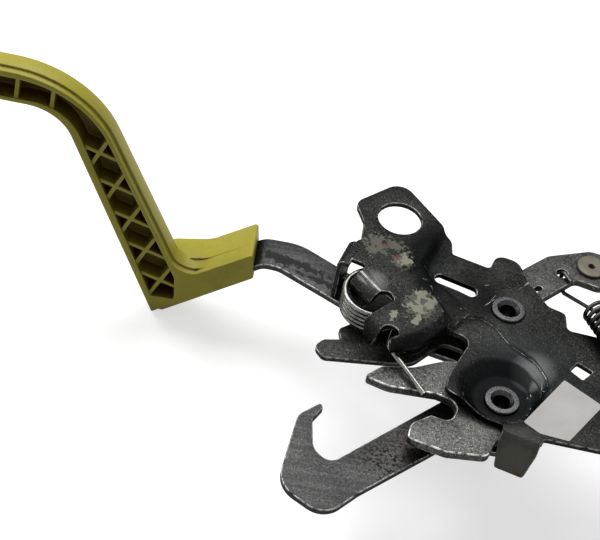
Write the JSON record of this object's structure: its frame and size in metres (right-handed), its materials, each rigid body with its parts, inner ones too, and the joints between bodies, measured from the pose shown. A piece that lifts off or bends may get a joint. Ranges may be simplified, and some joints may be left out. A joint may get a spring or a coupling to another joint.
{
  "type": "hood latch",
  "caption": "Hood latch of formed sheet steel with a forked claw, a safety hook lever with a plastic handle, a release lever and two springs.",
  "frame": {"origin": "Centre of the upper mounting hole, on the underside of the ear, where the latch is bolted down.", "axes": "+Z is the cover plate's normal, towards the side with the rivet heads; +X runs along the cover from the handle side to the release lever side; +Y points from the catch hook towards the mounting ear."},
  "size_m": [0.2726, 0.1453, 0.1039],
  "materials": {
    "dark_plate": "phosphated sheet, mottled",
    "claw_steel": "speckled, worn bright on the edges",
    "zinc_steel": "zinc grey with greasy specks",
    "rivet_steel": "smooth, turned over",
    "bright_wire": "bright spring wire",
    "dark_wire": "oiled spring wire",
    "yellow_plastic": "moulded, slightly soiled",
    "cream_plastic": "translucent moulded bush",
    "label_paper": "bare pale label"
  },
  "bodies": {
    "housing": {"cover_plate": "dark_plate", "base_plate": "zinc_steel", "claw_rivet": "rivet_steel", "pawl_rivet": "rivet_steel", "lever_bush": "rivet_steel", "lever_washer": "rivet_steel", "claw_spring": "bright_wire", "pawl_spring": "dark_wire", "label": "label_paper"},
    "claw": {"claw": "claw_steel"},
    "release": {"pawl_lever": "zinc_steel", "cable_bush": "cream_plastic"},
    "safety": {"safety_lever": "zinc_steel", "handle": "yellow_plastic"}
  },
  "joints": [
    {"name": "claw_pivot", "type": "hinge", "parent": "housing", "child": "claw", "pos_m": [0.0576, -0.0562, -0.01], "axis": [0, 0, -1], "range_deg": [0, 57], "stiffness_Nm_per_rad": 0.4, "springref_deg": -28.65, "deforming": ["claw_spring"]},
    {"name": "release_pivot", "type": "hinge", "parent": "housing", "child": "release", "pos_m": [0.0479, -0.0195, -0.006], "axis": [0, 0, 1], "range_deg": [0, 15], "stiffness_Nm_per_rad": 0.4, "springref_deg": -20.05, "deforming": ["pawl_spring"]},
    {"name": "safety_pivot", "type": "hinge", "parent": "housing", "child": "safety", "pos_m": [0.0576, -0.0562, -0.018], "axis": [0, 0, 1], "range_deg": [0, 18]}
  ]
}
